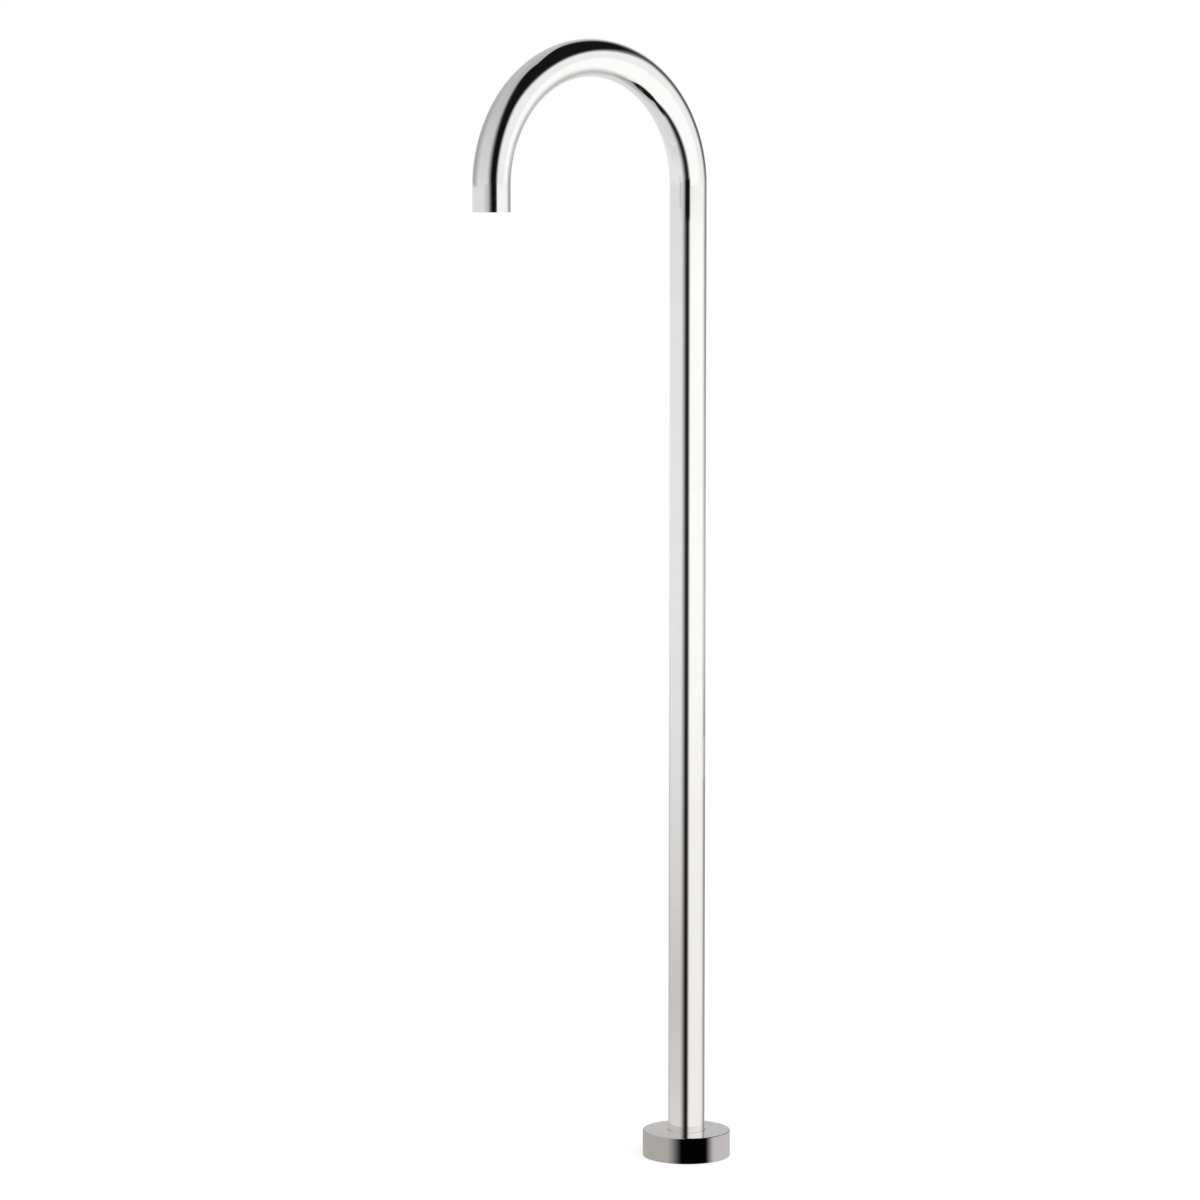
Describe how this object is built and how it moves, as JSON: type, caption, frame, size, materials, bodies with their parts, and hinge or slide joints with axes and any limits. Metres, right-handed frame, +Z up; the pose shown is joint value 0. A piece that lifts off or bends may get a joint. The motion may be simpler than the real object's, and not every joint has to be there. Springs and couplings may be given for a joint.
{
  "type": "floor standing bath filler",
  "caption": "Gooseneck bath spout that stands on the floor: a bent chrome tube turns on a sealed post inside a round flange under a sliding cover, with an aerator in its tip.",
  "frame": {"origin": "on the floor, at the axis of the column and of the supply inlet", "axes": "+Z up along the column; the spout reaches along -Y over the bath; X across"},
  "size_m": [0.084, 0.2955, 1.0653],
  "materials": {
    "polished_chrome": "polished",
    "machined_brass": "satin",
    "screw_steel": "satin",
    "screen_steel": "satin",
    "seal_rubber": "matte",
    "white_ptfe": "satin",
    "aerator_shell": "satin",
    "aerator_insert": "satin"
  },
  "bodies": {
    "base": {"flange_gasket": "seal_rubber", "floor_flange": "machined_brass", "swivel_post": "machined_brass", "post_o_ring": "seal_rubber", "lower_slip_ring": "white_ptfe", "lower_o_ring": "seal_rubber", "upper_o_ring": "seal_rubber", "upper_slip_ring": "white_ptfe", "thrust_washer": "white_ptfe", "locking_grub_screws": "screw_steel"},
    "spout": {"foot_sleeve": "machined_brass", "spout_tube": "polished_chrome", "outlet_bush": "polished_chrome"},
    "cover": {"cover_flange": "polished_chrome", "cover_o_ring": "seal_rubber"},
    "aerator": {"aerator_housing": "aerator_shell", "aerator_seal": "seal_rubber", "aerator_cartridge": "aerator_insert", "flow_straightener": "aerator_insert", "aerator_mixing_screens": "screen_steel", "aerator_diffuser": "aerator_insert", "aerator_cone_screen": "aerator_insert"}
  },
  "joints": [
    {"name": "spout_swivel", "type": "hinge", "parent": "base", "child": "spout", "pos_m": [0, 0, 0.03], "axis": [0, 0, 1], "continuous": true},
    {"name": "cover_lift", "type": "slide", "parent": "base", "child": "cover", "axis": [0, 0, 1], "range_m": [0, 0.9]},
    {"name": "aerator_removal", "type": "slide", "parent": "spout", "child": "aerator", "axis": [0, 0, -1], "range_m": [0, 0.02]}
  ]
}
